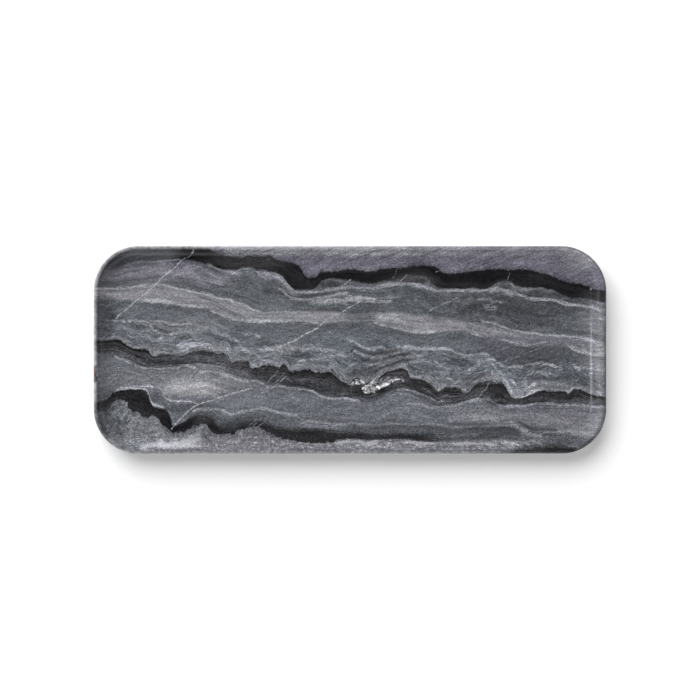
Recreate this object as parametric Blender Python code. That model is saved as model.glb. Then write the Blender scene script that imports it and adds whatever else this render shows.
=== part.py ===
"""A long, shallow marble tray, cut from one slab of stone, on four stick-on rubber pads.

Metres, +Z up, +X along the tray's length. The origin is under the middle of the tray, on the
plane that the pads stand on. Insets are measured inwards from the tray's outer edge.
"""

import math

import bmesh
import bpy
from mathutils import Vector

MM = 0.001

# The slab: its outline, seen from above
TRAY_LENGTH = 400 * MM
TRAY_WIDTH = 162 * MM
CORNER_RADIUS = 35 * MM

# The slab's section, from the underside up to the rim and down into the well
STONE_HEIGHT = 15 * MM
WELL_DEPTH = 7.5 * MM
RIM_WIDTH = 3 * MM
COVE_RADIUS = 12 * MM
BASE_SETBACK = 2.5 * MM
BASE_ROUND = 3 * MM
RIM_BAND = 4 * MM
RIM_BAND_ROUND = 8 * MM
RIM_OUTER_ROUND = 1.2 * MM
RIM_INNER_ROUND = 0.4 * MM

# The rubber pads, and the foam tape disc that holds each one to the stone
PAD_RADIUS = 6 * MM
PAD_FOOT_RADIUS = 5.2 * MM
PAD_HEIGHT = 2 * MM
PAD_FOOT_ROUND = 0.6 * MM
PAD_SETBACK = 34 * MM
TAPE_RADIUS = 5.4 * MM
TAPE_THICKNESS = 0.8 * MM
SEAT_GAP = 0.3 * MM

# How finely round shapes are stepped
CORNER_STEPS = 14
COVE_STEPS = 8
ROUND_STEPS = 4
TURNED_STEPS = 32
SHARP_ANGLE = math.radians(30)

# Linear colours, with roughness
STONE_LOOK = ((0.105, 0.108, 0.12, 1), 0.35)
RUBBER_LOOK = ((0.022, 0.022, 0.024, 1), 0.75)
TAPE_LOOK = ((0.62, 0.6, 0.56, 1), 0.8)

# Heights, worked out from the sizes above
TAPE_BASE = PAD_HEIGHT + SEAT_GAP
STONE_BASE = TAPE_BASE + TAPE_THICKNESS + SEAT_GAP
RIM_TOP = STONE_BASE + STONE_HEIGHT
WELL_FLOOR = RIM_TOP - WELL_DEPTH


def clear_scene():
    """Removes whatever the file held."""
    for old in list(bpy.data.objects):
        bpy.data.objects.remove(old)


def make_material(name, look):
    """A Principled material with the look's colour and roughness."""
    colour, roughness = look
    material = bpy.data.materials.new(name)
    material.use_nodes = True
    shader = material.node_tree.nodes["Principled BSDF"]
    shader.inputs["Base Color"].default_value = colour
    shader.inputs["Roughness"].default_value = roughness
    shader.inputs["Metallic"].default_value = 0
    return material


def rounded_corner(before, corner, after, radius):
    """The points of an arc of this radius that rounds off one corner of a section."""
    back = (before - corner).normalized()
    ahead = (after - corner).normalized()
    half_angle = back.angle(ahead) / 2
    centre = corner + (back + ahead).normalized() * radius / math.sin(half_angle)
    tangent = radius / math.tan(half_angle)
    start = corner + back * tangent - centre
    end = corner + ahead * tangent - centre
    turn = start.angle_signed(end)
    points = []
    for step in range(ROUND_STEPS + 1):
        angle = -turn * step / ROUND_STEPS
        points.append(centre + Vector((
            start.x * math.cos(angle) - start.y * math.sin(angle),
            start.x * math.sin(angle) + start.y * math.cos(angle),
        )))
    return points


def rounded_section(corners):
    """A section's points: each corner is (across, height, radius), and radius 0 keeps it sharp."""
    places = [Vector(corner[:2]) for corner in corners]
    points = [places[0]]
    for index in range(1, len(corners) - 1):
        radius = corners[index][2]
        if radius:
            points += rounded_corner(places[index - 1], places[index], places[index + 1], radius)
        else:
            points.append(places[index])
    return points + [places[-1]]


def cove_points():
    """The hollow inner wall: an arc that leaves the rim steeply and runs out level on the floor."""
    drop = min(WELL_DEPTH, COVE_RADIUS)
    rim_angle = math.acos(1 - drop / COVE_RADIUS)
    centre_inset = RIM_WIDTH + COVE_RADIUS * math.sin(rim_angle)
    points = []
    for step in range(1, COVE_STEPS + 1):
        angle = rim_angle * (1 - step / COVE_STEPS)
        inset = centre_inset - COVE_RADIUS * math.sin(angle)
        height = WELL_FLOOR + COVE_RADIUS * (1 - math.cos(angle))
        points.append((inset, height, 0))
    return points


def stone_section():
    """The slab's edge as (inset, height) points, from its flat underside to its flat floor."""
    corners = [
        (BASE_SETBACK + 2 * BASE_ROUND, STONE_BASE, 0),
        (BASE_SETBACK, STONE_BASE, BASE_ROUND),
        (0, RIM_TOP - RIM_BAND, RIM_BAND_ROUND),
        (0, RIM_TOP, RIM_OUTER_ROUND),
        (RIM_WIDTH, RIM_TOP, RIM_INNER_ROUND),
    ]
    return rounded_section(corners + cove_points())


def tray_outline(inset):
    """The tray's rounded rectangle, this far inside its outer edge, as (x, y) points."""
    radius = CORNER_RADIUS - inset
    reach_x = TRAY_LENGTH / 2 - CORNER_RADIUS
    reach_y = TRAY_WIDTH / 2 - CORNER_RADIUS
    points = []
    for quarter, (side_x, side_y) in enumerate([(1, 1), (-1, 1), (-1, -1), (1, -1)]):
        for step in range(CORNER_STEPS + 1):
            angle = (quarter + step / CORNER_STEPS) * math.pi / 2
            points.append((
                side_x * reach_x + radius * math.cos(angle),
                side_y * reach_y + radius * math.sin(angle),
            ))
    return points


def add_object(name, mesh, material, location=(0, 0, 0)):
    """Puts a mesh in the scene under this name, with its material."""
    made = bpy.data.objects.new(name, mesh)
    made.location = location
    if not mesh.materials:
        mesh.materials.append(material)
    bpy.context.scene.collection.objects.link(made)
    return made


def finish_mesh(name, shape):
    """Turns a bmesh into a mesh with outward faces, smooth but for its sharp edges."""
    bmesh.ops.recalc_face_normals(shape, faces=shape.faces)
    mesh = bpy.data.meshes.new(name)
    shape.to_mesh(mesh)
    shape.free()
    mesh.shade_smooth()
    mesh.set_sharp_from_angle(angle=SHARP_ANGLE)
    return mesh


def make_stone():
    """The slab: its section carried round the outline, closed by the underside and the floor."""
    shape = bmesh.new()
    rings = []
    for inset, height in stone_section():
        rings.append([shape.verts.new((x, y, height)) for x, y in tray_outline(inset)])
    for lower, upper in zip(rings, rings[1:]):
        for here in range(len(lower)):
            there = (here + 1) % len(lower)
            shape.faces.new((lower[here], lower[there], upper[there], upper[here]))
    shape.faces.new(rings[0])
    shape.faces.new(rings[-1])
    return finish_mesh("marble_body", shape)


def turned_mesh(name, section):
    """A solid of revolution about Z: the section is (radius, height) points, from axis to axis."""
    shape = bmesh.new()
    points = [shape.verts.new((radius, 0, height)) for radius, height in section]
    edges = [shape.edges.new(pair) for pair in zip(points, points[1:])]
    bmesh.ops.spin(
        shape,
        geom=points + edges,
        cent=(0, 0, 0),
        axis=(0, 0, 1),
        angle=2 * math.pi,
        steps=TURNED_STEPS,
        use_merge=True,
    )
    bmesh.ops.remove_doubles(shape, verts=shape.verts, dist=SEAT_GAP / 100)
    return finish_mesh(name, shape)


def pad_section():
    """A rubber pad: a level top against its tape, sides that taper to a rounded flat foot."""
    return rounded_section([
        (0, 0, 0),
        (PAD_FOOT_RADIUS, 0, PAD_FOOT_ROUND),
        (PAD_RADIUS, PAD_HEIGHT, 0),
        (0, PAD_HEIGHT, 0),
    ])


def tape_section():
    """A plain disc of foam tape."""
    return [(0, 0), (TAPE_RADIUS, 0), (TAPE_RADIUS, TAPE_THICKNESS), (0, TAPE_THICKNESS)]


def pad_places():
    """Where the pads stand: one inside each corner of the tray."""
    reach_x = TRAY_LENGTH / 2 - PAD_SETBACK
    reach_y = TRAY_WIDTH / 2 - PAD_SETBACK
    return {
        "front_left": (-reach_x, -reach_y),
        "front_right": (reach_x, -reach_y),
        "back_left": (-reach_x, reach_y),
        "back_right": (reach_x, reach_y),
    }


def build_tray():
    """Makes every piece of the tray, each as its own named object."""
    clear_scene()
    stone = make_material("marble", STONE_LOOK)
    rubber = make_material("pad_rubber", RUBBER_LOOK)
    tape = make_material("foam_tape", TAPE_LOOK)
    add_object("marble_body", make_stone(), stone)
    pad_mesh = turned_mesh("rubber_pad", pad_section())
    tape_mesh = turned_mesh("tape_disc", tape_section())
    for corner, (x, y) in pad_places().items():
        add_object("rubber_pad_" + corner, pad_mesh, rubber, (x, y, 0))
        add_object("tape_disc_" + corner, tape_mesh, tape, (x, y, TAPE_BASE))


build_tray()
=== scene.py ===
# A long marble tray seen from straight above, on a pale floor in soft light.
# Metres, +Z up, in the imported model's own frame. The patterns are worked out in millimetres.

import math

import bpy
import numpy as np
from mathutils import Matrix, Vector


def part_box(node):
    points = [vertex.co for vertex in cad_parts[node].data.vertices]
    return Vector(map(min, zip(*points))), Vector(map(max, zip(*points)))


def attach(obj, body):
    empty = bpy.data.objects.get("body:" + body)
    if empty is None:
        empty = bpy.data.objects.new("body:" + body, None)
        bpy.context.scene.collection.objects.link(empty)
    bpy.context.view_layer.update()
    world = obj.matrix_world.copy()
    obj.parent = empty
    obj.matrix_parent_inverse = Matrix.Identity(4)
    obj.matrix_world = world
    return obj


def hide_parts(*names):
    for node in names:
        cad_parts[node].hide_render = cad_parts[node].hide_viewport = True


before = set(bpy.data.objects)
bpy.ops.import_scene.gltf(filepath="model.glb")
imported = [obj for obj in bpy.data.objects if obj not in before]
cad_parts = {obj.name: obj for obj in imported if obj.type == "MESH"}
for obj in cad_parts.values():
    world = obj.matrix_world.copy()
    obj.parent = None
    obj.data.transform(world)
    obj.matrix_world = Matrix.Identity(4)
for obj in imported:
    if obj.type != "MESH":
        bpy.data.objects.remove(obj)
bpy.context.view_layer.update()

stoneLow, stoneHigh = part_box("marble_body")
trayLength = stoneHigh.x - stoneLow.x
trayWidth = stoneHigh.y - stoneLow.y
mm = 0.001

# Where the tray lies in the photograph, in its 700 by 700 pixels
photo = {
    "side": 700,
    "trayLeft": 93.6,
    "trayRight": 606.3,
    "trayTop": 246.3,
    "trayBottom": 453.4,
}
metresPerPixel = trayLength / (photo["trayRight"] - photo["trayLeft"])
widthPixels = photo["trayBottom"] - photo["trayTop"]

# Colours as they look on screen, from 0 to 255
palette = {
    "jet": (29, 29, 31),
    "ink": (38, 37, 40),
    "charcoal": (64, 63, 66),
    "deepSlate": (78, 80, 85),
    "greenSlate": (82, 87, 87),
    "slate": (94, 97, 102),
    "blueSlate": (100, 104, 111),
    "plumSlate": (84, 82, 91),
    "lilac": (115, 114, 126),
    "greyLilac": (107, 109, 116),
    "mistLilac": (132, 130, 140),
    "grey": (117, 119, 124),
    "warmGrey": (129, 129, 134),
    "cream": (144, 144, 150),
    "chalk": (178, 178, 182),
    "white": (212, 211, 213),
    "edgePale": (205, 204, 207),
    "rust": (96, 66, 56),
    "crustGrey": (108, 107, 113),
    "crustPale": (132, 131, 137),
    "faintLine": (132, 133, 140),
    "softLine": (156, 157, 164),
    "paleLine": (174, 175, 182),
    "frost": (200, 202, 210),
}

print("scene: frame loaded")


# Colour and node helpers

def linear(value):
    # The screen value divided by 255, with the sRGB curve taken off
    share = value / 255
    return share / 12.92 if share <= 0.04045 else ((share + 0.055) / 1.055) ** 2.4


def tint(colour):
    return tuple(linear(value) for value in colour) + (1.0,)


def paint(name):
    return tint(palette[name])


def feed(tree, socket, value):
    # A socket is linked, and a number, a vector or a colour is set
    if isinstance(value, bpy.types.NodeSocket):
        tree.links.new(value, socket)
    else:
        socket.default_value = tuple(value) if isinstance(value, np.ndarray) else value


def place(tree, kind, *values, **settings):
    made = tree.nodes.new("ShaderNode" + kind)
    for name, value in settings.items():
        setattr(made, name, value)
    for socket, value in zip(made.inputs, values):
        if value is not None:
            feed(tree, socket, value)
    return made


def sums(tree, operation, *values, clamp=False):
    return place(tree, "Math", *values, operation=operation, use_clamp=clamp).outputs[0]


def times(tree, first, second):
    return sums(tree, "MULTIPLY", first, second)


def vectors(tree, operation, *values):
    made = place(tree, "VectorMath", *values, operation=operation)
    return made.outputs["Value" if operation in {"LENGTH", "DOT_PRODUCT"} else "Vector"]


def inCells(tree, vector, *sizes):
    # The vector counted in cells of these sizes; one size serves all three directions
    sizes = sizes if len(sizes) == 3 else sizes * 3
    return vectors(tree, "MULTIPLY", vector, [1 / size for size in sizes])


def objectPoint(tree):
    # The point on the piece in millimetres
    return vectors(tree, "SCALE", place(tree, "TexCoord").outputs["Object"], None, None, 1 / mm)


def attribute(tree, name):
    return place(tree, "Attribute", attribute_name=name).outputs["Fac"]


def ease(tree, value, start, end, low=0.0, high=1.0):
    # low before start and high after end, with an eased step between; start may be above end. The
    # step stops at both ends by itself, so the node's own clamp is off.
    made = place(tree, "MapRange", value, start, end, low, high,
                 interpolation_type="SMOOTHSTEP", clamp=False)
    return made.outputs[0]


def span(tree, value, start, end, low=0.0, high=1.0):
    # The same with a straight step
    return place(tree, "MapRange", value, start, end, low, high).outputs[0]


def mix(tree, factor, first, second):
    made = place(tree, "Mix", data_type="RGBA")
    for socket, value in zip((made.inputs[0], made.inputs[6], made.inputs[7]), (factor, first, second)):
        feed(tree, socket, value)
    return made.outputs[2]


def grain(tree, vector, detail=2.0, roughness=0.5, distortion=0.0, output="Fac"):
    # Noise about half, one cell wide for each unit of the vector
    made = place(tree, "TexNoise", noise_dimensions="3D")
    feed(tree, made.inputs["Vector"], vector)
    made.inputs["Scale"].default_value = 1.0
    made.inputs["Detail"].default_value = detail
    made.inputs["Roughness"].default_value = roughness
    made.inputs["Distortion"].default_value = distortion
    return made.outputs[output]


def cells(tree, vector):
    # Voronoi cells, one for each unit of the vector: a colour for each, and the distance from its point
    made = place(tree, "TexVoronoi", vector)
    made.inputs["Scale"].default_value = 1.0
    return made.outputs


def newGroup(name, inputs, outputs):
    # A shader node group with these named sockets: returns its tree, what it is given and what it fills
    tree = bpy.data.node_groups.new(name, "ShaderNodeTree")
    for sockets, way in ((inputs, "INPUT"), (outputs, "OUTPUT")):
        for label, kind in sockets.items():
            tree.interface.new_socket(name=label, in_out=way, socket_type="NodeSocket" + kind)
    return tree, tree.nodes.new("NodeGroupInput").outputs, tree.nodes.new("NodeGroupOutput").inputs


def use(tree, group, **values):
    made = tree.nodes.new("ShaderNodeGroup")
    made.node_tree = group
    for name, value in values.items():
        feed(tree, made.inputs[name], value)
    return made.outputs


def newMaterial(name):
    made = bpy.data.materials.new(name)
    made.use_nodes = True
    return made, made.node_tree


def finishShader(tree, look, colour, roughness, relief):
    # Colour, roughness and a bump of the relief go to the shader, with the look's gloss and bump
    shader = tree.nodes["Principled BSDF"]
    tree.links.new(colour, shader.inputs["Base Color"])
    tree.links.new(roughness, shader.inputs["Roughness"])
    shader.inputs["Specular IOR Level"].default_value = look["specularLevel"]
    bump = place(tree, "Bump", *look["bump"])
    feed(tree, bump.inputs["Height"], relief)
    tree.links.new(bump.outputs["Normal"], shader.inputs["Normal"])


# Shared effects

# Swell is how noise about half changes a line's width: from these two values of it, to these two
# widths. Ends are where a crack fades at each end, in millimetres. A patch's distance from its
# centre, in radii, is roughened by rough and fades between these two.
effects = {
    "seam": {"swell": (0.25, 0.75, 0.35, 1.65)},
    "crack": {"swell": (0.28, 0.72, 0.0, 1.6), "ends": (-0.5, 0.2)},
    "patch": {"rough": 1.4, "fade": (1.25, 0.45)},
}


def makeBedGroup():
    # A bed of stone between two edges. Mask is one inside it, with a ragged step at each edge that is
    # eased from half the edge's softness outside it to the whole of it inside. Depth runs from 0 at
    # the top edge to 1 at the bottom one.
    tree, given, out = newGroup(
        "bed",
        {"Down": "Float", "Top": "Float", "Bottom": "Float", "TopSoft": "Float", "BottomSoft": "Float",
         "Ragged": "Float", "TopRag": "Float", "BottomRag": "Float"},
        {"Mask": "Float", "Depth": "Float"},
    )
    top = sums(tree, "MULTIPLY_ADD", given["Ragged"], given["TopRag"], given["Top"])
    bottom = sums(tree, "MULTIPLY_ADD", given["Ragged"], given["BottomRag"], given["Bottom"])
    below = sums(tree, "SUBTRACT", given["Down"], top)
    above = sums(tree, "SUBTRACT", bottom, given["Down"])
    enter = ease(tree, below, times(tree, given["TopSoft"], -0.5), given["TopSoft"])
    leave = ease(tree, above, times(tree, given["BottomSoft"], -0.5), given["BottomSoft"])
    feed(tree, out["Mask"], times(tree, enter, leave))
    feed(tree, out["Depth"], span(tree, given["Down"], given["Top"], given["Bottom"]))
    return tree


def makeSeamGroup():
    # A thin seam along a centre line: one within a quarter of its half width, eased to zero at twice
    # it, between a start and an end along the tray. Rough, about half, swells and thins it.
    tree, given, out = newGroup(
        "seam",
        {"Down": "Float", "Centre": "Float", "Along": "Float", "Start": "Float", "End": "Float",
         "Fade": "Float", "HalfWidth": "Float", "Rough": "Float"},
        {"Mask": "Float"},
    )
    away = sums(tree, "ABSOLUTE", sums(tree, "SUBTRACT", given["Down"], given["Centre"]))
    half = times(tree, given["HalfWidth"], ease(tree, given["Rough"], *effects["seam"]["swell"]))
    body = ease(tree, away, times(tree, half, 2.0), times(tree, half, 0.25))
    after = sums(tree, "ADD", given["Start"], given["Fade"])
    before = sums(tree, "SUBTRACT", given["End"], given["Fade"])
    length = times(tree, ease(tree, given["Along"], given["Start"], after),
                   ease(tree, given["Along"], given["End"], before))
    feed(tree, out["Mask"], times(tree, body, length))
    return tree


def makeCrackGroup():
    # A healed crack from Start towards Heading, Length long. How far a point lies across it is eased
    # from one on the crack to zero at its half width. It fades from 0.2 mm inside its ends to 0.5 mm
    # past them, so that one crack can carry on where another stops.
    tree, given, out = newGroup(
        "crack",
        {"Point": "Vector", "Start": "Vector", "Heading": "Vector", "Side": "Vector", "Length": "Float",
         "HalfWidth": "Float", "Rough": "Float"},
        {"Mask": "Float"},
    )
    reach = vectors(tree, "SUBTRACT", given["Point"], given["Start"])
    forward = vectors(tree, "DOT_PRODUCT", reach, given["Heading"])
    across = vectors(tree, "DOT_PRODUCT", reach, given["Side"])
    half = times(tree, given["HalfWidth"], ease(tree, given["Rough"], *effects["crack"]["swell"]))
    body = ease(tree, sums(tree, "ABSOLUTE", across), half, 0.0)
    after = sums(tree, "SUBTRACT", given["Length"], forward)
    ends = effects["crack"]["ends"]
    length = times(tree, ease(tree, forward, *ends), ease(tree, after, *ends))
    feed(tree, out["Mask"], times(tree, body, length))
    return tree


def makePatchGroup():
    # A soft oval patch: the distance from its centre in radii, roughened, eased from one to zero
    tree, given, out = newGroup(
        "patch",
        {"Point": "Vector", "Centre": "Vector", "Shrink": "Vector", "Rough": "Float"},
        {"Mask": "Float"},
    )
    reach = vectors(tree, "SUBTRACT", given["Point"], given["Centre"])
    away = vectors(tree, "LENGTH", vectors(tree, "MULTIPLY", reach, given["Shrink"]))
    rough = sums(tree, "SUBTRACT", given["Rough"], 0.5)
    edge = sums(tree, "MULTIPLY_ADD", rough, effects["patch"]["rough"], away)
    feed(tree, out["Mask"], ease(tree, edge, *effects["patch"]["fade"]))
    return tree


groups = {
    "bed": makeBedGroup(),
    "seam": makeSeamGroup(),
    "crack": makeCrackGroup(),
    "patch": makePatchGroup(),
}


# The stone's pattern, read off the photograph. Each list of points is (x, y) in its pixels.

def alongShare(x):
    return (x - photo["trayLeft"]) / (photo["trayRight"] - photo["trayLeft"])


def downShare(y):
    return (y - photo["trayTop"]) / widthPixels


def pixels(count):
    return count / widthPixels


def photoPoint(x, y):
    # Millimetres from the tray's middle, +X right and +Y to the back
    return ((alongShare(x) - 0.5) * trayLength / mm, (0.5 - downShare(y)) * trayWidth / mm, 0.0)


# The top and the bottom edge of each bed, from left to right
beds = {
    "upper": {
        "top": [(94, 244), (184, 244.5), (192, 246), (200, 246), (209, 249), (215, 252), (225, 254),
                (232, 256), (240, 257), (250, 254), (262, 257), (270, 256), (275, 259), (290, 262),
                (297, 265), (301, 268), (304, 275), (308, 277), (313, 277), (318, 275), (320, 272),
                (335, 271), (352, 269), (370, 271), (388, 268), (405, 267), (420, 265), (437, 267),
                (441, 271), (455, 273), (470, 271), (500, 269), (520, 269), (540, 272), (550, 275),
                (562, 280), (577, 283), (590, 286), (596, 289), (606, 291)],
        "bottom": [(94, 284), (120, 274), (150, 266), (180, 262), (190, 261), (204, 264), (216, 269),
                   (226, 270), (240, 269), (247, 267), (258, 271), (272, 272), (280, 275), (286, 281),
                   (290, 287), (296, 290), (308, 290), (316, 288), (321, 282), (330, 279), (345, 280),
                   (356, 282), (372, 284), (380, 282), (390, 281), (400, 279), (407, 276), (417, 276),
                   (428, 279), (433, 285), (440, 289), (460, 290), (482, 290), (492, 287), (500, 282),
                   (510, 281), (517, 286), (527, 289), (540, 289), (548, 290), (556, 291), (562, 295),
                   (572, 298), (588, 299), (606, 304)],
    },
    "ribbon": {
        "top": [(94, 288), (110, 288), (120, 289), (130, 287), (140, 286), (150, 284), (158, 284),
                (168, 286), (178, 288), (195, 291), (203, 293), (212, 296), (226, 298), (232, 300),
                (244, 304), (256, 310), (262, 312), (290, 311), (330, 311), (340, 312), (350, 312.5),
                (360, 312.5), (372, 312.5), (380, 312.5), (386, 312.5), (400, 313), (420, 316),
                (430, 317), (436, 319), (460, 320), (480, 321), (495, 323), (502, 326), (510, 329),
                (530, 333), (550, 335), (580, 337), (590, 339), (600, 343), (606, 344)],
        "bottom": [(94, 298), (110, 300), (125, 300), (135, 301), (155, 301), (165, 303), (175, 304),
                   (182, 306), (190, 308), (208, 309), (215, 312), (222, 316), (238, 320), (246, 321),
                   (270, 322), (305, 321), (312, 322), (320, 325), (326, 324), (335, 322), (355, 321.5),
                   (372, 321), (380, 323.8), (390, 326.5), (400, 329), (410, 331), (420, 333), (440, 332),
                   (450, 331), (468, 331), (475, 334), (488, 337), (503, 340), (520, 344), (528, 346),
                   (542, 342), (550, 341), (560, 342), (568, 345), (575, 349), (582, 352), (590, 354),
                   (606, 355)],
    },
    "middle": {
        "top": [(94, 341), (119, 340), (123, 343), (128, 346), (134, 349), (147, 350), (149, 354),
                (155, 357), (160, 355), (180, 356), (188, 353), (202, 351), (218, 353), (226, 353),
                (229, 360), (232, 363), (236, 361), (247, 361), (251, 368), (256, 368), (262, 366),
                (268, 365), (280, 367), (283, 364), (287, 367), (291, 372), (297, 371), (310, 369),
                (313, 372), (331, 372), (335, 376), (344, 382), (348, 383), (353, 379), (359, 378),
                (365, 383), (370, 382), (376, 379), (388, 371.5), (396, 369), (403, 368.3), (408, 370.5),
                (410, 377), (422, 380), (430, 383), (435, 388), (438, 391), (443, 388), (447, 386),
                (452, 388), (459, 388), (464, 393), (468, 393), (474, 386), (484, 382), (498, 381),
                (503, 383), (507, 389), (510, 394), (513, 398), (519, 398), (531, 394), (538, 392),
                (552, 391), (566, 391), (568, 394), (576, 389), (584, 391), (590, 394), (606, 398)],
        "bottom": [(94, 353), (110, 353), (120, 356), (130, 359), (142, 365), (155, 367), (185, 365),
                   (205, 366), (220, 369), (232, 374), (245, 378), (262, 383), (270, 384), (290, 387),
                   (310, 390), (320, 394), (330, 397), (350, 398), (366, 400), (380, 397), (392, 391),
                   (404, 390), (416, 394), (430, 401), (440, 404), (460, 402), (470, 400), (482, 399),
                   (490, 402), (500, 405), (520, 404), (560, 403), (606, 404)],
    },
    "lower": {
        "top": [(94, 402), (106, 399), (110, 396), (114, 391), (121, 389), (132, 389), (146, 391),
                (148, 396), (152, 405), (160, 408), (166, 410), (170, 416), (172, 426), (178, 424),
                (185, 420), (191, 416), (197, 414), (205, 413.5), (211, 415), (215, 419), (221, 423),
                (232, 423), (242, 419), (252, 418), (263, 419), (270, 422), (277, 425), (285, 427),
                (300, 427.5), (320, 429), (340, 431.5), (352, 431.5), (375, 433), (400, 432), (425, 433),
                (440, 434), (470, 434), (520, 434), (560, 436), (606, 438)],
        "bottom": [(94, 411), (104, 411), (109, 407), (113, 403), (118, 400), (125, 401), (128, 408),
                   (131, 411), (137, 412), (142, 417), (147, 418), (152, 416), (157, 418), (161, 424),
                   (166, 428), (171, 432), (178, 433), (186, 431), (191, 428.5), (196, 426.5),
                   (201, 424.5), (205, 424.5), (208, 427), (210, 431), (213, 433), (222, 434), (232, 434),
                   (238, 431), (244, 429), (258, 428), (264, 430), (270, 434), (278, 438), (288, 440),
                   (300, 442), (320, 443), (338, 442), (346, 440), (358, 440), (366, 441), (380, 440),
                   (396, 439), (412, 440), (424, 442), (450, 441), (480, 440), (510, 440), (560, 441),
                   (606, 443)],
    },
    "crust": {
        "top": [(94, 455), (130, 454), (139, 450), (148, 446), (160, 443), (170, 444), (180, 442),
                (190, 439), (196, 434), (201, 432), (205, 434), (215, 435), (230, 436), (240, 432),
                (250, 430), (262, 430), (272, 435), (285, 440), (300, 443), (330, 444), (345, 441),
                (370, 441), (390, 439), (410, 440), (430, 443), (445, 445), (455, 443), (480, 442),
                (495, 444), (503, 446), (508, 453), (514, 456), (606, 456)],
        "bottom": [(94, 460), (606, 460)],
    },
    "pocket": {
        "top": [(347, 384.5), (351, 382), (354, 380.5), (357.5, 379), (361, 379.5), (364, 382),
                (367, 384), (369, 383), (372, 381), (375, 379.5), (380, 378.5), (385, 376.5), (393, 376),
                (401, 376), (404.5, 378.5), (407, 380)],
        "bottom": [(347, 385), (352, 385), (357, 384.5), (360, 385), (361.5, 388), (363.5, 391.5),
                   (366, 393.5), (372, 393.5), (376, 391.5), (380, 389.5), (385, 387), (391.7, 383.5),
                   (396, 380.5), (400, 380.5), (403.5, 382.5), (407, 380)],
    },
    "foot": {
        "top": [(498, 453), (507, 450.5), (515, 447.5), (525, 445.5), (535, 444.5), (545, 443),
                (556, 442.5), (566, 443.5), (578, 446.5), (590, 450), (606, 453)],
        "bottom": [(498, 453), (606, 453)],
    },
}

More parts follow.
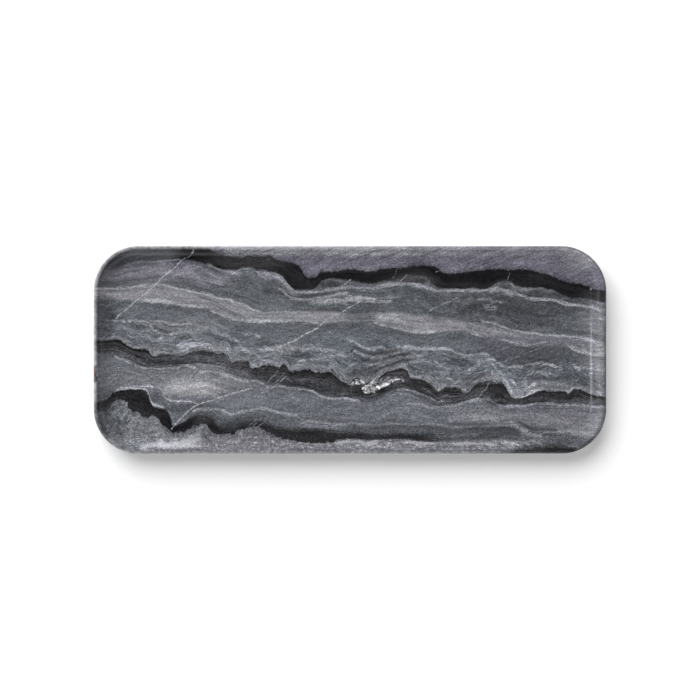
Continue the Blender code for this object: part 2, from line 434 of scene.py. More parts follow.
# Soft bands and thin seams that follow the beds, by colour: (half width in pixels, strength, points)
seams = {
    # Above and below the top black bed
    "cream": [
        (3.4, 0.8, [(222, 249), (260, 250), (300, 249.5), (360, 249.5), (410, 249), (450, 247)]),
        (1.3, 0.7, [(342, 298.8), (352, 298.2), (365, 298.3), (378, 299.5)]),
    ],
    "paleLine": [
        # The ribbon's outlines
        (0.8, 0.6, [(94, 288.5), (115, 288.5), (130, 287.5), (142, 285.5), (152, 284.5), (163, 285),
                    (175, 287.5), (186, 290.5), (196, 292), (204, 294), (214, 297), (226, 299),
                    (234, 302), (244, 305.5), (254, 310), (262, 313)]),
        (0.8, 0.6, [(140, 300), (150, 301), (162, 301.5), (172, 303), (182, 305.5), (195, 306.5),
                    (209, 306.8)]),
        (0.9, 0.7, [(208, 309.5), (214, 312), (220, 314.5), (230, 317.5), (240, 320), (250, 321),
                    (275, 321.3), (300, 321), (310, 321.5), (320, 324)]),
        (0.8, 0.6, [(372, 321), (380, 323.8), (390, 326.5), (402, 329), (412, 331), (424, 332),
                    (437, 331.5)]),
        (0.7, 0.6, [(480, 321.5), (490, 322.5), (500, 325.5), (510, 329), (530, 333), (548, 335.5),
                    (565, 336), (580, 337.5), (594, 341), (606, 344)]),
        (0.8, 0.6, [(466, 332), (474, 334), (485, 337)]),
        (0.9, 0.7, [(566, 345.5), (574, 349.5), (582, 352.5), (592, 354), (606, 354.5)]),
        # Between the ribbon and the middle bed
        (0.8, 0.7, [(485, 360), (490, 359), (493, 364), (496, 368), (499, 372)]),
        (0.8, 0.75, [(500, 379.5), (505, 381), (508, 385), (510, 390), (513, 396)]),
        (0.8, 0.7, [(509, 379), (514, 382), (517, 387), (519, 393)]),
        (0.8, 0.6, [(513, 397), (520, 396.5), (527, 394.5), (534, 391.5), (542, 389.5)]),
        # Below the middle bed
        (0.8, 0.6, [(112, 355.5), (122, 359), (132, 364), (141, 368), (155, 368.5), (166, 368),
                    (178, 367), (184, 366), (192, 367), (198, 370)]),
        (0.8, 0.55, [(196, 374), (202, 372), (209, 371.5), (217, 373), (228, 375.5), (236, 379),
                     (246, 380.5), (258, 382), (267, 386)]),
        (0.8, 0.55, [(264, 388), (272, 386.5), (282, 387), (292, 389), (303, 389.5), (312, 391),
                     (319, 395.5), (330, 398.5), (345, 398.5), (352, 400), (362, 402)]),
        (0.7, 0.75, [(113, 394), (118, 389), (126, 388), (140, 388.5), (147, 390), (149, 396), (152, 404),
                     (158, 406), (165, 408)]),
        (0.7, 0.75, [(124, 388), (132, 387), (142, 386.5), (150, 386), (158, 387.5), (162, 391),
                     (164, 397), (170, 400.5), (180, 401), (190, 401.5), (195, 403), (200, 405)]),
        (0.7, 0.7, [(503, 440.5), (508, 442), (515, 444), (523, 446)]),
    ],
    "softLine": [
        # Painted light: a pale line just inside the back rim, on the steep back wall of the cove
        (1.5, 0.7, [(222, 251.5), (270, 251.5), (320, 251), (380, 251), (436, 250.5)]),
        (1.0, 0.8, [(205, 263.5), (213, 267), (220, 270.5), (229, 271.5), (233, 273), (238, 271),
                    (243, 268.8), (251, 269.5)]),
        (1.0, 0.75, [(254, 272), (262, 272.5), (270, 274), (278, 276.5), (284, 281), (289, 287),
                     (294, 291), (300, 292.5), (310, 292.3), (320, 291.5), (332, 289.5), (345, 288),
                     (360, 287.5), (372, 288.5), (380, 286.5), (390, 285), (400, 284), (410, 284),
                     (420, 286), (432, 289), (440, 290.5), (482, 290.8), (490, 289.5), (500, 289),
                     (512, 293), (524, 296), (533, 298.5), (550, 300), (562, 302), (572, 304.5),
                     (583, 307), (595, 309), (608, 310)]),
        (0.9, 0.8, [(276, 287), (283, 292), (289, 296.5), (295, 299), (305, 299), (318, 298),
                    (330, 296.5), (338, 293.5), (350, 292.5)]),
        (1.6, 0.8, [(308, 303), (318, 301.5), (330, 301), (345, 300), (360, 299.5), (377, 300)]),
        (0.9, 0.7, [(376, 302), (385, 302), (394, 299.5)]),
        (0.9, 0.7, [(582, 319), (592, 319), (608, 318)]),
        (0.8, 0.6, [(500, 339), (512, 342), (522, 345.5), (529, 346), (538, 343.5), (549, 341.5)]),
        (0.8, 0.6, [(112, 321), (125, 321.5), (140, 321), (152, 321), (163, 321.5), (172, 324.5),
                    (184, 324), (193, 323)]),
        (0.8, 0.6, [(136, 324), (146, 324.5), (152, 328), (157, 332.5), (166, 334), (179, 333)]),
        (1.4, 0.6, [(175, 347), (185, 346), (195, 345), (208, 345), (220, 346), (228, 350), (233, 357)]),
        (1.3, 0.7, [(232, 338), (238, 343), (242, 348), (248, 352), (254, 353.5), (258, 356),
                    (261, 361)]),
        (0.9, 0.6, [(243, 336), (250, 333.5), (256, 335.5), (262, 339)]),
        (1.6, 0.6, [(262, 348), (275, 349.5), (290, 349), (305, 348.5), (318, 349), (328, 350),
                    (337, 353)]),
        (0.9, 0.6, [(292, 369), (300, 361), (312, 359.5), (324, 358), (336, 355.5), (347, 352.5)]),
        (0.9, 0.75, [(345, 340), (352, 341), (358, 344), (364, 348), (374, 349), (382, 347), (388, 350),
                     (395, 348), (410, 347), (425, 349), (440, 348), (450, 350), (460, 354), (472, 355),
                     (484, 354), (491, 357), (497, 362), (504, 366), (515, 367), (526, 365), (540, 363),
                     (550, 364), (556, 367), (565, 368)]),
        (1.3, 0.6, [(398, 348.5), (410, 347.8), (425, 348.5), (441, 348.5)]),
        (1.0, 0.6, [(352, 350), (360, 354), (368, 356.5), (378, 357), (390, 354.5), (402, 352)]),
        (0.9, 0.55, [(366, 366), (374, 364.5), (384, 361.5), (396, 358), (404, 356.5)]),
        (0.9, 0.5, [(404, 364), (416, 362), (428, 363), (440, 366), (452, 369), (462, 369.5)]),
        (0.9, 0.5, [(426, 372), (440, 372.5), (454, 373), (466, 371), (478, 367)]),
        (1.0, 0.5, [(524, 373), (536, 372), (548, 374), (560, 374.5)]),
        (0.8, 0.6, [(409, 375), (415, 376.5), (423, 378), (430, 380.5), (434, 384), (438, 389.5),
                    (442, 388), (447, 385), (452, 386), (459, 387), (463, 391), (469, 391.5)]),
        (1.0, 0.7, [(572, 362), (577, 367), (590, 368), (606, 369.5)]),
        (0.7, 0.3, [(384, 396), (393, 391), (404, 390), (414, 391.5), (424, 395), (434, 399),
                    (446, 401)]),
        (0.9, 0.7, [(405, 404), (418, 404.5), (430, 407), (445, 406.5), (460, 404), (472, 401),
                    (485, 399.5), (491, 401), (498, 404.5), (506, 406), (520, 406.5), (530, 405),
                    (540, 403.5), (550, 404), (560, 405.5), (575, 406), (606, 407)]),
        (0.9, 0.65, [(190, 412), (197, 409.5), (206, 409), (216, 409), (225, 411.5), (231, 414.5),
                     (240, 412.5), (250, 410), (262, 408.5), (272, 410), (282, 413), (290, 414.5),
                     (298, 417), (304, 420), (312, 421), (322, 422), (332, 424), (342, 424.5), (352, 423),
                     (362, 424.5), (378, 425), (388, 423.5), (400, 424.5), (440, 424.5), (448, 427),
                     (460, 427.5), (480, 427), (500, 426), (516, 426)]),
        (0.8, 0.6, [(526, 441), (536, 442), (544, 444)]),
        (1.6, 0.6, [(508, 422), (516, 425.5), (524, 431), (532, 434), (545, 436)]),
        (1.0, 0.5, [(540, 431.5), (552, 431.5), (566, 431), (578, 432)]),
        (2.2, 0.4, [(446, 419), (460, 416), (474, 416.5), (488, 417), (500, 419)]),
    ],
    "mistLilac": [
        (0.9, 0.6, [(120, 267), (132, 263.5), (144, 261.5), (156, 262), (168, 264)]),
        (0.8, 0.5, [(104, 274), (116, 271), (128, 268.5), (140, 267)]),
        (2.5, 0.8, [(138, 274), (150, 271.5), (160, 270.5), (172, 271), (184, 273), (192, 276),
                    (202, 279), (215, 281), (233, 281)]),
        (1.2, 0.8, [(180, 263), (190, 265), (200, 267.5), (207, 270), (214, 274), (229, 275.5)]),
        (2.0, 0.5, [(256, 274.5), (268, 276), (278, 280), (284, 286), (290, 291), (298, 294)]),
        (1.2, 0.5, [(104, 281), (118, 279), (132, 276.5), (146, 274)]),
    ],
    "faintLine": [
        (2.2, 0.7, [(462, 391), (468, 388), (473, 382), (479, 378), (486, 376.5), (495, 376), (503, 378),
                    (509, 384), (514, 392)]),
        (1.8, 0.5, [(520, 384), (530, 385), (540, 383.5), (551, 382)]),
        (0.7, 0.7, [(382, 306), (388, 303.5), (393, 301)]),
        (1.6, 0.6, [(488, 291), (494, 289.5), (502, 290), (508, 293), (515, 295)]),
        (0.9, 0.6, [(508, 282), (518, 287), (526, 289), (540, 289), (554, 292)]),
        (0.8, 0.6, [(476, 298.5), (486, 299.5), (494, 301.5), (504, 303)]),
        (1.4, 0.8, [(482, 306.5), (491, 307.2), (499, 307)]),
        (0.9, 0.7, [(588, 323.5), (598, 323.5), (608, 322.5)]),
        (0.9, 0.7, [(594, 304.5), (602, 303.5), (608, 303)]),
        (1.2, 0.5, [(300, 345), (315, 345.5), (327, 346)]),
        (1.3, 0.6, [(440, 351), (446, 355), (456, 358), (468, 358.5), (480, 360), (489, 361)]),
        (1.4, 0.7, [(404, 357), (414, 356.5), (426, 357)]),
        (1.2, 0.5, [(424, 378), (440, 379), (452, 378.5), (465, 376.5), (475, 373)]),
        (0.9, 0.6, [(586, 372), (596, 373.5), (606, 373)]),
        (0.8, 0.5, [(388, 399), (396, 394), (406, 393.5), (414, 396), (421, 400)]),
        (1.4, 0.5, [(298, 426), (312, 425), (325, 427), (341, 428)]),
        (0.9, 0.5, [(432, 435), (450, 436.5), (464, 434.5), (481, 433.5)]),
        (1.2, 0.6, [(160, 349), (172, 351), (182, 352), (192, 350.5), (200, 348.5), (212, 349),
                    (222, 351), (227, 354)]),
    ],
    "slate": [
        (0.7, 0.7, [(106, 291), (116, 291), (129, 290)]),
        (0.6, 0.6, [(148, 292), (156, 296), (163, 299.5)]),
        (0.6, 0.6, [(158, 292.5), (168, 295), (180, 298), (195, 298.5), (207, 299)]),
        (0.7, 0.7, [(206, 301), (214, 304), (220, 308), (226, 311.5), (232, 314), (239, 316)]),
        (0.6, 0.7, [(380, 321.5), (390, 323.5), (400, 325), (410, 327.5), (419, 328.5)]),
        (0.7, 0.5, [(404, 320), (413, 321.5), (423, 322)]),
        (0.7, 0.6, [(476, 322), (486, 324), (498, 327), (510, 331), (525, 335)]),
        (0.8, 0.6, [(568, 342), (580, 346), (590, 348), (605, 347)]),
    ],
    "deepSlate": [
        (2.0, 0.6, [(98, 283), (112, 283), (126, 282), (140, 280), (150, 278.5), (161, 279)]),
        (0.9, 0.6, [(102, 270), (114, 266.5), (126, 263.5), (138, 259), (150, 256.5), (162, 256)]),
        (0.8, 0.6, [(108, 277.5), (120, 274.5), (130, 271.5), (142, 270)]),
        (0.8, 0.5, [(124, 260), (136, 256), (150, 253), (165, 252)]),
        (1.0, 0.6, [(200, 265.5), (210, 269), (218, 272.5), (229, 273.5)]),
        (0.6, 0.7, [(196, 296), (208, 299), (218, 304), (228, 310), (238, 315), (247, 317)]),
        (0.6, 0.6, [(384, 325), (396, 326.5), (406, 329), (415, 331)]),
        (1.6, 0.4, [(262, 391), (275, 389.5), (290, 392), (304, 393), (314, 396), (322, 400),
                    (336, 402)]),
        (2.4, 0.8, [(350, 428), (375, 428.5), (400, 428.5), (420, 428), (441, 428.5)]),
        (3.0, 0.95, [(434, 431), (450, 431), (465, 431.5), (480, 431), (495, 430), (508, 431),
                     (521, 434)]),
    ],
    "charcoal": [
        (1.3, 0.6, [(298, 295.5), (310, 295.7), (322, 294.5), (334, 292), (345, 290.5), (357, 290.5)]),
        (1.2, 0.5, [(298, 310), (320, 309.5), (346, 308.5)]),
        (0.9, 0.6, [(366, 304), (374, 306), (381, 307)]),
        (0.7, 0.6, [(150, 323), (156, 327.5), (162, 331), (173, 332)]),
        (0.7, 0.6, [(160, 321.5), (166, 325), (175, 327), (187, 326)]),
        (0.8, 0.8, [(143, 341), (147, 341), (151, 345), (154, 348)]),
        (0.7, 0.6, [(244, 338.5), (252, 336), (259, 338.5)]),
        (0.8, 0.8, [(440, 353.5), (448, 357), (458, 360), (471, 361.5)]),
        (0.9, 0.8, [(470, 381), (476, 379), (482, 376), (488, 374)]),
        (1.2, 0.8, [(350, 345), (358, 349), (366, 352.5), (376, 353.5), (390, 352), (404, 351)]),
        (1.2, 0.8, [(356, 358), (366, 360.5), (378, 361), (390, 358), (402, 354.5), (412, 353.5)]),
        (1.0, 0.8, [(378, 369), (390, 365), (404, 360), (416, 359)]),
        (1.0, 0.8, [(444, 361), (456, 364.5), (468, 366), (480, 364)]),
        (1.1, 0.8, [(516, 360), (528, 359), (540, 359.5), (552, 361)]),
        (1.1, 0.8, [(530, 378), (544, 378.5), (558, 378), (572, 377)]),
        (0.7, 0.5, [(392, 389), (404, 387), (416, 389), (428, 393), (441, 397)]),
        (2.0, 0.7, [(422, 438), (440, 439), (455, 439.5), (470, 438.5), (485, 437.5), (501, 437)]),
        (0.9, 0.9, [(516, 420), (524, 424), (531, 428.5), (540, 430), (550, 430), (560, 429.5)]),
        (1.2, 0.7, [(462, 429), (474, 428), (486, 426.8), (500, 427.5), (512, 429), (522, 434)]),
        (0.9, 0.6, [(446, 423.5), (460, 424), (474, 424.5), (490, 423.5)]),
        (0.8, 0.9, [(497, 443.5), (502, 445), (506, 448), (507, 452)]),
        (1.1, 0.6, [(505, 439), (520, 440), (535, 442), (550, 444)]),
    ],
    # The white streaks along the crust at the front
    "frost": [
        (1.9, 0.55, [(138, 449), (146, 446.5), (154, 444.5), (162, 444), (170, 445), (178, 443),
                     (186, 441), (192, 438.5), (197, 434.5), (202, 432.5)]),
        (2.3, 0.5, [(184, 446), (190, 442.5), (196, 439), (203, 437)]),
        (1.3, 0.45, [(334, 443.5), (346, 441.8), (358, 441.8), (368, 442.8), (380, 442.3)]),
        (1.1, 0.4, [(404, 442), (416, 442.3), (426, 443.5), (437, 444)]),
        (0.8, 0.4, [(448, 444), (458, 443), (470, 443), (478, 443.8), (486, 443.3), (496, 445)]),
    ],
}

# Healed cracks, by colour: (half width in pixels, strength, points)
cracks = {
    "frost": [
        (1.05, 1.0, [(194, 250), (190, 256), (181, 260), (176, 266), (169, 272), (161, 278)]),
        (0.95, 0.75, [(161, 278), (157, 283), (150, 289), (143, 295), (136, 300.5), (128, 307.5),
                      (120, 313.5), (115, 319)]),
        (0.8, 0.95, [(361, 301), (351, 306.5), (342, 312)]),
        (0.7, 0.4, [(342, 312), (335, 315), (329, 318), (322, 324)]),
        (0.9, 0.95, [(171, 429), (176, 423), (183, 416), (190, 409), (196, 405.5), (203, 402.5),
                     (212, 400.5), (220, 397), (230, 394), (240, 391.5), (252, 388)]),
        (0.6, 0.7, [(286, 376), (281, 381), (276, 385), (269, 390), (261, 393)]),
    ],
    "white": [
        (1.1, 1.0, [(322, 324), (317, 328.5), (309, 332), (303, 335), (299, 338), (293, 341),
                    (286, 343.5), (280, 346)]),
    ],
    "paleLine": [
        (0.7, 0.7, [(430, 311), (434, 308), (441, 305), (449, 302), (455, 299), (459, 297)]),
        (0.7, 0.6, [(489, 383), (487, 388), (484, 391), (480, 396), (477, 400)]),
        (0.5, 0.6, [(279, 368), (276, 374), (271, 378), (267, 383)]),
        (0.5, 0.6, [(284, 373), (280, 378), (275, 383)]),
        (0.6, 0.8, [(401, 281), (407, 275)]),
        (0.8, 0.8, [(351, 279.5), (346, 283), (341, 287)]),
        (0.6, 0.6, [(436, 272), (441, 270)]),
        (0.9, 0.9, [(153, 262), (165, 260.5), (181, 259.5)]),
        (0.5, 0.7, [(169, 262.5), (174, 265.5)]),
        (0.5, 0.6, [(246, 429), (252, 423), (257, 419)]),
        (0.5, 0.6, [(250, 429), (256, 423), (262, 418)]),
        (0.5, 0.6, [(257, 427), (266, 421)]),
        (0.7, 0.7, [(302, 423.5), (309, 420)]),
        (0.9, 0.9, [(124, 408), (127, 402)]),
        (0.9, 0.9, [(120, 420), (126, 412)]),
        (0.9, 0.9, [(129, 425), (133.5, 417)]),
        (0.8, 0.8, [(127, 421), (130, 414)]),
        (0.5, 0.5, [(112, 428), (118, 420)]),
        (0.5, 0.4, [(140, 436), (150, 429)]),
        (0.7, 0.7, [(560, 257), (570, 255.5), (582, 252)]),
        (0.6, 0.7, [(147, 390), (149, 396), (152, 404), (158, 406)]),
        (0.6, 0.7, [(158, 387.5), (162, 391), (164, 397), (170, 400.5)]),
        (0.6, 0.6, [(224, 352), (228, 359), (231, 363)]),
        (0.7, 0.7, [(503, 381), (508, 389), (512, 397)]),
        (0.6, 0.6, [(509, 379), (515, 384), (519, 393)]),
        (0.6, 0.6, [(488, 359), (492, 364), (496, 369)]),
    ],
    "softLine": [
        (0.6, 0.6, [(501, 363), (520, 356), (535, 350), (552, 344)]),
        (0.6, 0.6, [(508, 269), (510, 273), (508, 280)]),
        (0.7, 0.35, [(392, 278.5), (395, 276), (397, 268)]),
    ],
    "deepSlate": [
        (0.7, 0.7, [(501, 365), (520, 358), (535, 352), (552, 346)]),
        (0.6, 0.7, [(285, 375), (280, 380), (274, 385), (266, 390)]),
        (1.5, 0.75, [(349, 261), (362, 256.5), (374, 252), (385, 249)]),
        (1.5, 0.75, [(377, 261), (390, 256), (403, 250)]),
        (1.5, 0.65, [(413, 259), (428, 254), (441, 249)]),
        (1.5, 0.75, [(459, 261), (474, 254.5), (489, 250)]),
        (1.5, 0.65, [(476, 263), (494, 258), (511, 253)]),
        (1.6, 0.9, [(515, 258), (528, 255), (543, 250)]),
        (1.2, 0.6, [(262, 253), (276, 249)]),
        (1.2, 0.6, [(300, 260), (318, 254), (332, 250)]),
        (0.8, 0.5, [(119, 437), (128, 428)]),
    ],
}

# Soft tonal patches on the ground, the crust, the middle bed or all black beds, and the chip at the
# left edge: (x, y, reach along, reach across, colour, strength)
patches = {
    "ground": [
        (112, 262, 26, 12, "charcoal", 0.4), (150, 253, 32, 5, "slate", 0.45),
        (150, 275, 60, 10, "mistLilac", 0.6), (178, 281, 16, 4, "deepSlate", 0.5),
        (520, 313, 80, 18, "deepSlate", 0.95), (505, 303, 75, 13, "charcoal", 0.55),
        (325, 306, 30, 4, "greenSlate", 0.7), (104, 318, 12, 26, "deepSlate", 0.7),
        (330, 284, 15, 4, "ink", 0.6), (205, 380, 60, 16, "warmGrey", 0.5),
        (190, 388, 32, 9, "chalk", 0.75), (283, 350, 17, 6, "warmGrey", 0.6),
        (128, 378, 42, 12, "grey", 0.7), (542, 356, 42, 16, "deepSlate", 0.85),
        (492, 342, 20, 6, "plumSlate", 0.8), (130, 311, 18, 7, "grey", 0.5),
        (500, 418, 26, 9, "slate", 0.4), (582, 426, 30, 14, "warmGrey", 0.6),
        (106, 425, 18, 24, "deepSlate", 0.8), (99, 432, 9, 16, "charcoal", 0.5),
        (124, 414, 15, 12, "slate", 0.8), (597, 350, 14, 40, "warmGrey", 0.7),
        (412, 280, 24, 5, "charcoal", 0.9), (508, 285, 15, 4, "charcoal", 0.5),
        (555, 295, 46, 4, "charcoal", 0.5), (320, 317, 18, 4, "cream", 0.7),
        (360, 316.5, 19, 6, "slate", 0.85), (362, 308.5, 22, 4.5, "deepSlate", 0.7),
        (392, 317, 14, 5, "cream", 0.6), (445, 325, 22, 6, "cream", 0.7), (275, 316, 26, 5, "grey", 0.6),
        (545, 340, 70, 8, "greyLilac", 0.85), (300, 333, 38, 10, "slate", 0.6),
        (180, 328, 55, 14, "grey", 0.85), (425, 339, 45, 6, "slate", 0.5),
        (300, 355, 12, 4, "charcoal", 0.6), (182, 408, 24, 6, "deepSlate", 0.9),
        (155, 397, 5, 8, "deepSlate", 0.8), (565, 443, 52, 7, "deepSlate", 0.95),
        (170, 266, 32, 8, "lilac", 0.6), (585, 322, 28, 12, "blueSlate", 0.5),
        (490, 415, 30, 6, "warmGrey", 0.75), (548, 420, 34, 8, "warmGrey", 0.4),
        (582, 260, 18, 12, "cream", 0.7), (596, 318, 20, 18, "warmGrey", 0.6),
        (475, 432.5, 52, 4.5, "charcoal", 0.45), (510, 352, 34, 9, "plumSlate", 0.5),
        (364, 371, 20, 7, "deepSlate", 0.85), (376, 357, 34, 11, "deepSlate", 0.45),
        (555, 378, 46, 10, "deepSlate", 0.55), (266, 345, 34, 12, "grey", 0.5),
        (410, 294, 30, 8, "deepSlate", 0.6), (425, 352, 50, 8, "slate", 0.6),
        (190, 429, 14, 6, "deepSlate", 0.5),
    ],
    "crust": [
        (170, 444.5, 34, 4.5, "chalk", 0.5), (480, 450, 70, 2.5, "slate", 0.5),
        (400, 450, 60, 2.5, "greyLilac", 0.5),
    ],
    "chip": [
        (95, 371, 2.2, 8, "rust", 0.85), (95.5, 378, 2.0, 5, "ink", 0.8),
    ],
    "middle": [
        (108, 346, 20, 8, "ink", 0.4), (190, 360, 46, 9, "deepSlate", 0.6), (362, 391, 15, 6, "jet", 0.7),
        (386, 390, 14, 5, "jet", 0.9), (275, 373, 32, 5, "jet", 0.3), (425, 384, 20, 5, "ink", 0.6),
        (455, 391, 17, 4, "jet", 0.6), (500, 389, 18, 9, "ink", 0.6), (566, 396, 28, 4, "ink", 0.5),
    ],
    "black": [
        (150, 402, 62, 18, "charcoal", 0.2), (202, 420, 10, 5, "charcoal", 0.6),
        (350, 436, 130, 10, "charcoal", 0.3), (250, 261, 44, 10, "charcoal", 0.85),
        (412, 280, 26, 7, "charcoal", 0.8), (592, 297, 14, 8, "charcoal", 0.5),
        (104, 406, 10, 7, "charcoal", 0.5), (190, 360, 50, 8, "deepSlate", 0.5),
        (545, 400, 50, 5, "deepSlate", 0.4),
    ],
}

print("scene: pattern read")


# The stone

stone = {
    "rimWidth": 3 * mm,
    "cornerRadius": 35 * mm,
    "wellDepth": 7.5 * mm,
    "coveRadius": 12 * mm,
    "coveSteps": 40,
    "baseSetback": 2.5 * mm,
    "baseRound": 3 * mm,
    "rimBand": 4 * mm,
    "rimBandRound": 8 * mm,
    "rimOuterRound": 1.2 * mm,
    "rimInnerRound": 0.4 * mm,
    "roundSteps": 8,
    "cornerSteps": 64,
    "flatMargin": 3 * mm,
    "levelGap": 0.01 * mm,  # a point this little below the rim's top is on it
}


def filletArc(before, corner, after, radius, steps):
    # An arc of this radius that touches both legs of the corner: the tangent points lie
    # radius / tan(half the angle) from it, and the angle runs evenly from one to the other.
    before, corner, after = (np.array(point, float) for point in (before, corner, after))
    back = (before - corner) / np.linalg.norm(before - corner)
    ahead = (after - corner) / np.linalg.norm(after - corner)
    halfAngle = math.acos(np.clip(back @ ahead, -1, 1)) / 2
    middle = back + ahead
    centre = corner + middle / np.linalg.norm(middle) * radius / math.sin(halfAngle)
    tangent = radius / math.tan(halfAngle)
    start = corner + back * tangent - centre
    end = corner + ahead * tangent - centre
    turn = math.atan2(start[0] * end[1] - start[1] * end[0], start @ end)
    angles = turn * np.linspace(0, 1, steps + 1)[:, None]
    return centre + np.cos(angles) * start + np.sin(angles) * np.array([-start[1], start[0]])


def stoneProfile():
    # (inset, height) from a ring on the underside, up the side, over the rim and down the cove to
    # a ring on the floor. Each corner is a fillet arc. The cove is an arc level with the floor:
    # inset = centre - radius * sin(a) and height = floor + radius * (1 - cos(a)).
    base, rim = stoneLow.z, stoneHigh.z
    setback, floor = stone["baseSetback"], rim - stone["wellDepth"]
    corners = [
        (setback + 2 * stone["baseRound"], base),
        (setback, base),
        (0, rim - stone["rimBand"]),
        (0, rim),
        (stone["rimWidth"], rim),
    ]
    rimAngle = math.acos(1 - stone["wellDepth"] / stone["coveRadius"])
    coveCentre = stone["rimWidth"] + stone["coveRadius"] * math.sin(rimAngle)
    angle = np.linspace(rimAngle, 0, stone["coveSteps"] + 1)
    cove = np.column_stack([
        coveCentre - stone["coveRadius"] * np.sin(angle),
        floor + stone["coveRadius"] * (1 - np.cos(angle)),
    ])
    radii = [stone["baseRound"], stone["rimBandRound"], stone["rimOuterRound"], stone["rimInnerRound"]]
    nodes = corners + [tuple(cove[1])]
    arcs = [
        filletArc(nodes[i], nodes[i + 1], nodes[i + 2], radii[i], stone["roundSteps"])
        for i in range(len(radii))
    ]
    margin = stone["flatMargin"]
    return np.vstack([[(corners[0][0] + margin, base), corners[0]], *arcs, cove[1:],
                      [(coveCentre + margin, floor)]])


def trayRing(inset):
    # A rounded rectangle for each inset: every corner's centre plus (corner radius - inset) times
    # the cosine and sine of an angle that turns through a quarter at each corner.
    radius = stone["cornerRadius"] - np.asarray(inset)[:, None]
    step = np.linspace(0, math.pi / 2, stone["cornerSteps"] + 1)
    angle = np.concatenate([step + quarter * math.pi / 2 for quarter in range(4)])
    sideX = np.repeat([1, -1, -1, 1], len(step)) * (trayLength / 2 - stone["cornerRadius"])
    sideY = np.repeat([1, 1, -1, -1], len(step)) * (trayWidth / 2 - stone["cornerRadius"])
    return sideX + radius * np.cos(angle), sideY + radius * np.sin(angle)


def gridFaces(rows, columns):
    # A four-sided face between each pair of rows and each pair of columns, closed round the columns
    low = np.arange(rows - 1)[:, None] * columns + np.arange(columns)
    ahead = np.arange(rows - 1)[:, None] * columns + (np.arange(columns) + 1) % columns
    return np.stack([low, ahead, ahead + columns, low + columns], axis=-1).reshape(-1, 4)


def addPiece(name, points, faces):
    mesh = bpy.data.meshes.new(name)
    mesh.from_pydata(points, [], faces)
    piece = bpy.data.objects.new(name, mesh)
    bpy.context.scene.collection.objects.link(piece)
    return piece


def makeStone():
    # The profile carried round the tray's outline as one grid, closed by two flat faces.
    # sideDrop is how far a point on the outer side or the underside lies below the rim, and edgeInset
    # is how far a point lies inside the tray's outer edge.
    insets, heights = stoneProfile().T
    x, y = trayRing(insets)
    rows, columns = x.shape
    z = np.repeat(heights[:, None], columns, axis=1)
    faces = gridFaces(rows, columns).tolist()
    faces.append(list(range(columns))[::-1])
    faces.append(list(range((rows - 1) * columns, rows * columns)))
    piece = addPiece("marble_tray", np.stack([x, y, z], axis=-1).reshape(-1, 3).tolist(), faces)
    piece.data.shade_smooth()
    onRim = (heights >= stoneHigh.z - stone["levelGap"]) & (insets > stone["rimOuterRound"] / 2)
    drop = np.where(np.arange(rows)[:, None] < np.argmax(onRim), stoneHigh.z - z, 0)
    inset = np.repeat(insets[:, None], columns, axis=1)
    for name, values in (("sideDrop", drop), ("edgeInset", inset)):
        mark = piece.data.attributes.new(name, "FLOAT", "POINT")
        mark.data.foreach_set("value", values.ravel().astype(np.float32))
    return piece


# Four numbers in a row here are a step: from, to, the value before it and the value after it. A step
# of two numbers runs from 0 to 1.
marble = {
    # The first bed starts and the last one ends a little past the tray's sides, as shares of its width
    "sides": (-0.02, 1.02),
    # The beds slope into the stone by dip times the depth. Bends, frays and folds are in millimetres.
    # The folds are shallow, and deep where the stone is crumpled, between these numbers of beds passed.
    # The slanting grain is turned in degrees.
    "dip": 0.8,
    "bend": 0.9,
    "bendCell": 6,
    "frayCell": 2.8,
    "fold": (0.5, 3.2),
    "foldCell": (10, 5, 8),
    "foldFrom": (4.2, 4.45),
    "foldTo": (5.1, 4.9),
    "slashTurn": -21,
    # How far the lines wander, how much wider than listed they are, and how the salt thins them
    "sway": {"seam": 0.5, "crack": 0.8},
    "widen": {"seam": 1.25, "crack": 1.15},
    "speck": {"seam": (0.35, 0.55, 0.55, 1.0), "crack": (0.35, 0.55, 0.45, 1.0)},
    "crackRough": 1.4,
    "seamFadeShare": 0.008,
    # The outer edge is paler: partly wear, broken into chips by the mottle, and partly a painted
    # highlight where the rim catches the light, most so at the left and along the front. The right end
    # has painted shade. Its steps go by the distance from the edge and below the rim, and by shares of
    # the tray's length and width.
    "edgeInset": (3.2 * mm, 0.2 * mm),
    "edgeDrop": (3 * mm, 1 * mm),
    "leftRimHighlight": (0.25, 0.75, 0.75, 0.1),
    "leftRimHighlightDown": (0.85, 0.72, 0.3, 1.0),
    "frontLipHighlight": (0.93, 0.99, 0.0, 0.35),
    "frontLipHighlightAlong": (0.9, 0.75, 0.25, 1.0),
    "paleEdgeChips": (0.35, 0.6, 0.45, 1.0),
    # Painted shade: the rim darkens towards the right end, away from the light
    "rightShade": (0.6, 0.99, 0.0, 0.45),
    # The underside is sawn and unpolished: dustier, rougher, with long faint saw marks
    "underDrop": (13.8 * mm, 14.8 * mm),
    "sawCell": (90, 0.9, 20),
    "sawDust": (0.35, 0.65, 0.0, 0.6),
    "sawRough": 0.35,
    "polish": (0.3, 0.7, 0.05, 0.08),
    "specularLevel": 0.16,
    "bump": (0.02, 0.0002),
}

# The mean thickness of each bed and gap from the top of the stone to the bottom, in millimetres
bedThickness = [9, 12, 21, 10, 32, 15, 25, 8, 10]

